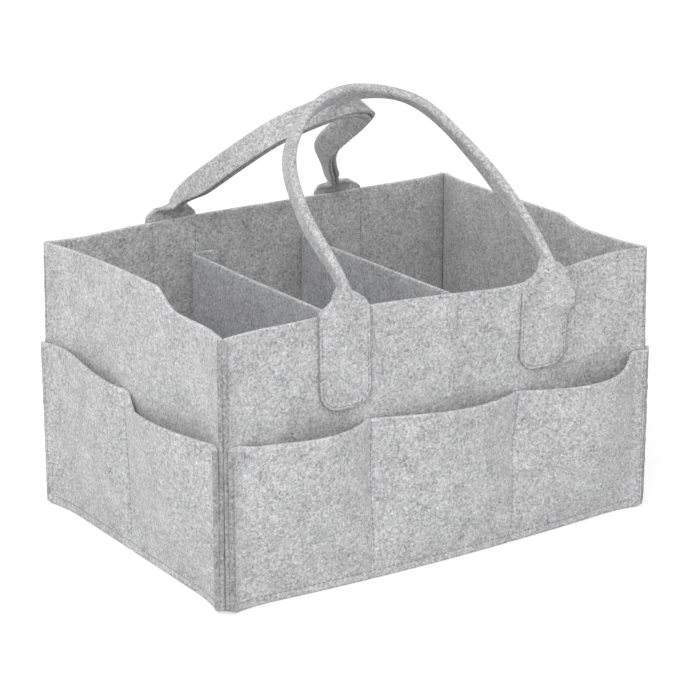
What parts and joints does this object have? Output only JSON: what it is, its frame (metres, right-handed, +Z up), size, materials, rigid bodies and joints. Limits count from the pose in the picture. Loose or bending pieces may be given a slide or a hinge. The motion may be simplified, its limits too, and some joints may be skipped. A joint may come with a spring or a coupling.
{
  "type": "diaper caddy",
  "caption": "Open felt caddy with stepped short walls, sewn outside pockets, arched felt carry handles that swing and cross dividers that slide along the walls.",
  "frame": {"origin": "middle of the bounding box's bottom face, on the ground", "axes": "+X along the long walls to the right seen from the front, +Y from front to rear, +Z up"},
  "size_m": [0.3688, 0.2724, 0.3104],
  "materials": {
    "felt_outside": "light grey mottled felt",
    "felt_inside": "light grey mottled felt in shade",
    "hook_tape": "woven nylon hook tape"
  },
  "bodies": {
    "box": {"base_panel": "felt_inside", "floor_insert": "felt_inside", "front_wall": "felt_outside", "rear_wall": "felt_outside", "left_wall": "felt_outside", "right_wall": "felt_outside", "front_pockets": "felt_outside", "rear_pockets": "felt_outside", "left_pockets": "felt_outside", "right_pockets": "felt_outside", "front_left_tab": "felt_outside", "front_right_tab": "felt_outside", "rear_left_tab": "felt_outside", "rear_right_tab": "felt_outside"},
    "front_handle": {"front_handle": "felt_outside"},
    "rear_handle": {"rear_handle": "felt_outside"},
    "left_divider": {"left_divider": "felt_inside", "left_divider_front_hooks": "hook_tape", "left_divider_rear_hooks": "hook_tape"},
    "right_divider": {"right_divider": "felt_inside", "right_divider_front_hooks": "hook_tape", "right_divider_rear_hooks": "hook_tape"}
  },
  "joints": [
    {"name": "front_handle_swing", "type": "hinge", "parent": "box", "child": "front_handle", "pos_m": [0, -0.1213, 0.187], "axis": [1, 0, 0], "range_deg": [0, 176]},
    {"name": "rear_handle_swing", "type": "hinge", "parent": "box", "child": "rear_handle", "pos_m": [0, 0.1213, 0.1995], "axis": [-1, 0, 0], "range_deg": [0, 176]},
    {"name": "left_divider_slide", "type": "slide", "parent": "box", "child": "left_divider", "axis": [1, 0, 0], "range_m": [-0.095, 0.03]},
    {"name": "right_divider_slide", "type": "slide", "parent": "box", "child": "right_divider", "axis": [1, 0, 0], "range_m": [-0.03, 0.1]}
  ]
}
